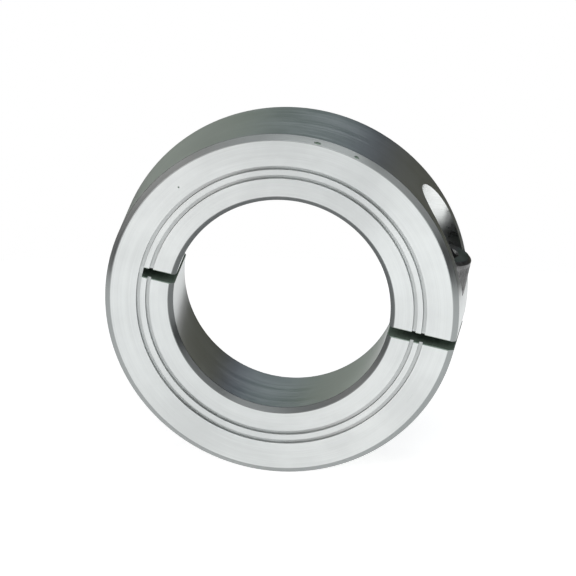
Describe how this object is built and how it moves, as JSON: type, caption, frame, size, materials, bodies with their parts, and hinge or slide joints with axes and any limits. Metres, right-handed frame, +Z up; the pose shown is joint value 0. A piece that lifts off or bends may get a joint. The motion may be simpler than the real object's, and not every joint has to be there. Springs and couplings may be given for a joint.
{
  "type": "clamp shaft collar",
  "caption": "Split ring that grips a round shaft when a socket head screw across its split is tightened.",
  "frame": {"origin": "middle of the bore, halfway across the width", "axes": "-Y along the bore's axis out of the grooved front face, +Z up as the collar sits on a level shaft, and the split points to +X, 12 degrees below the horizontal"},
  "size_m": [0.0582, 0.016, 0.057],
  "materials": {
    "ring": "bright plated steel with a fine turned finish on the faces, rim and bore",
    "screw": "black oxide on alloy steel, slightly oily, with a knurled head"
  },
  "bodies": {
    "ring": {"collar_ring": "ring"},
    "screw": {"clamp_screw": "screw"}
  },
  "joints": [
    {"name": "screw_out", "type": "slide", "parent": "ring", "child": "screw", "axis": [0.2079, 0, 0.9781], "range_m": [0, 0.009]}
  ]
}
